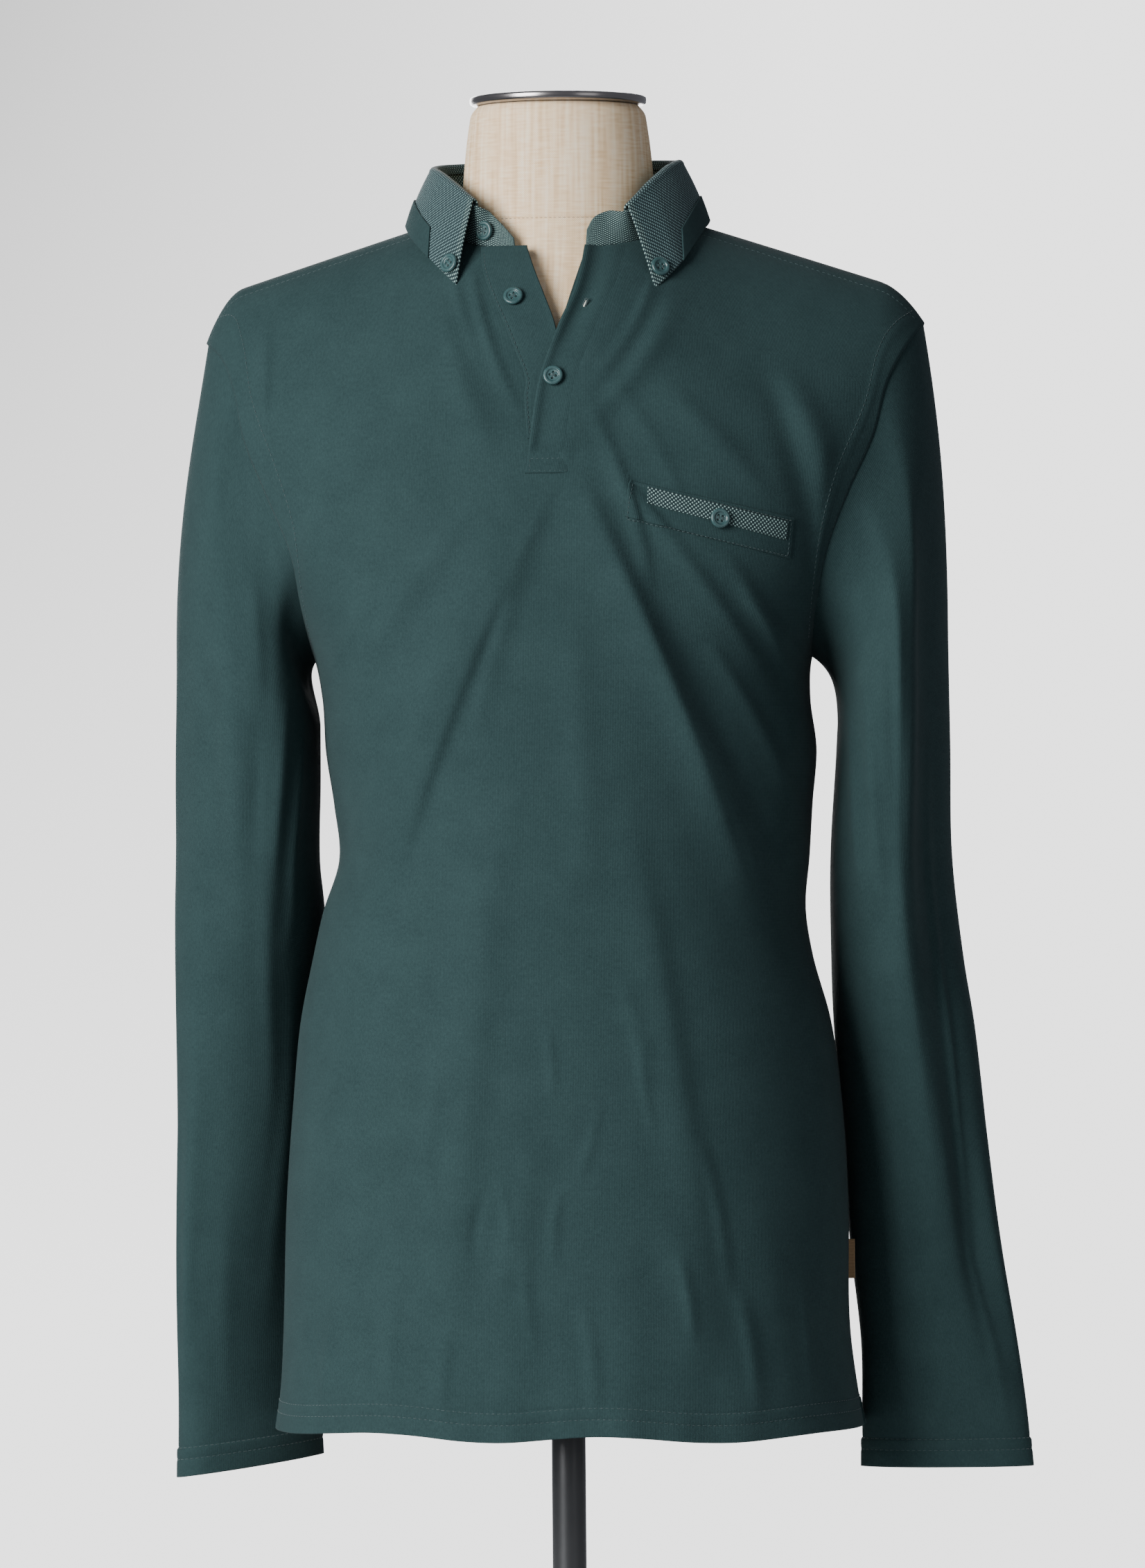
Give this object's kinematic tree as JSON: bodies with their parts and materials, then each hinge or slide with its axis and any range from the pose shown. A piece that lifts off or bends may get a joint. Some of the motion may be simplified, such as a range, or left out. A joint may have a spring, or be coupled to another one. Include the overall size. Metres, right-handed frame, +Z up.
{
  "type": "long-sleeved polo shirt on a limbless dress form and stand",
  "caption": "Dark green long-sleeved polo shirt with a dotted buttoned-down collar and chest pocket, worn by a linen torso form on a low pole and round base.",
  "frame": {"origin": "middle of the base's flat underside, on the floor", "axes": "+Z up along the pole, -Y towards the shirt's front, +X towards the viewer's right"},
  "size_m": [0.5033, 0.3, 0.9316],
  "materials": {
    "jersey": "matte",
    "dotted": "matte",
    "buttons": "satin",
    "label": "matte",
    "linen": "matte",
    "cap_metal": "polished",
    "pole_metal": "satin"
  },
  "bodies": {
    "root": {"front": "jersey", "back": "jersey", "sleeve_left": "jersey", "sleeve_right": "jersey", "placket_over": "jersey", "placket_under": "jersey", "collar_edge_band": "jersey", "pocket_welt": "jersey", "collar_stand": "dotted", "collar_leaf": "dotted", "pocket_strip": "dotted", "button_stand": "buttons", "button_placket_1": "buttons", "button_placket_2": "buttons", "button_collar_left": "buttons", "button_collar_right": "buttons", "button_pocket": "buttons", "side_label": "label", "dress_form": "linen", "neck_cap": "cap_metal", "pole": "pole_metal", "base": "pole_metal"}
  },
  "joints": []
}
